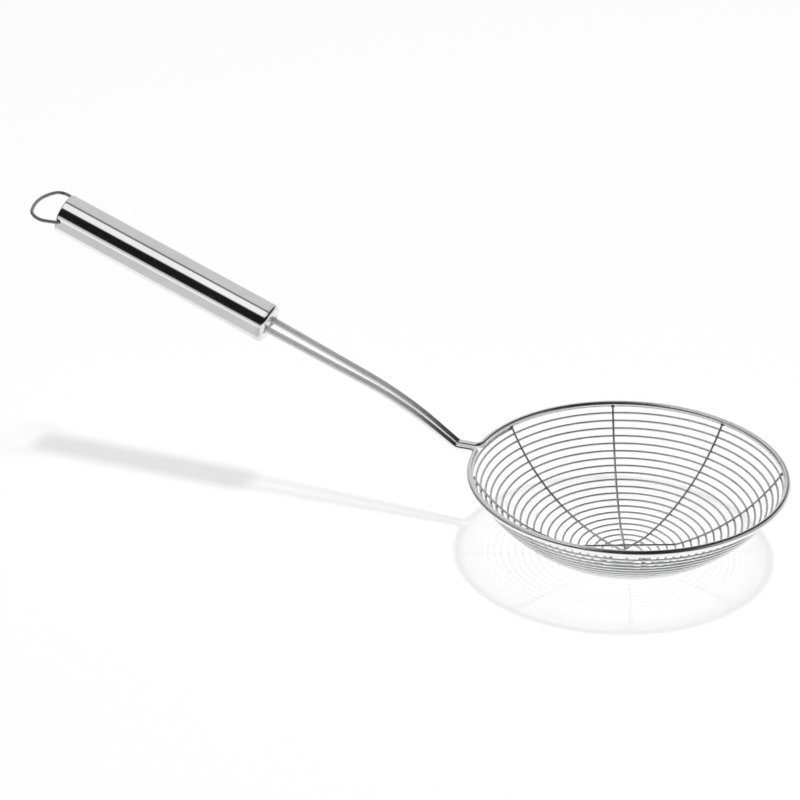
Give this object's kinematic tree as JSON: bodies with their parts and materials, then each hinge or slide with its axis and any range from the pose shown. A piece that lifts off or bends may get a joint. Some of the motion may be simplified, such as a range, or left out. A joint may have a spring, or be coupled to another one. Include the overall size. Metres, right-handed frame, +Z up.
{
  "type": "spider skimmer",
  "caption": "Spider skimmer: shallow round wire bowl of one spiral wire on crossing ribs, a twin-rod neck, a hollow round handle and a hanging loop that swings.",
  "frame": {"origin": "on the bowl's axis, at the level of the flat that the bowl stands on", "axes": "+Z up along the bowl's axis out of its mouth, -X towards the handle, Y across the skimmer"},
  "size_m": [0.4021, 0.1604, 0.1493],
  "materials": {
    "rod_steel": "polished",
    "wire_steel": "polished",
    "handle_steel": "polished",
    "cap_steel": "polished",
    "plug_steel": "satin",
    "loop_steel": "polished"
  },
  "bodies": {
    "skimmer": {"rim_rod": "rod_steel", "spiral_winding": "wire_steel", "cross_rib_1": "wire_steel", "cross_rib_2": "wire_steel", "cross_rib_3": "wire_steel", "cross_rib_4": "wire_steel", "handle_tube": "handle_steel", "front_cap": "cap_steel", "rod_plug": "plug_steel", "rear_cap": "cap_steel"},
    "loop": {"hanging_loop": "loop_steel"}
  },
  "joints": [
    {"name": "loop_hinge", "type": "hinge", "parent": "skimmer", "child": "loop", "pos_m": [-0.30464, 0, 0.13871], "axis": [0, 1, 0], "range_deg": [-135, 135]}
  ]
}
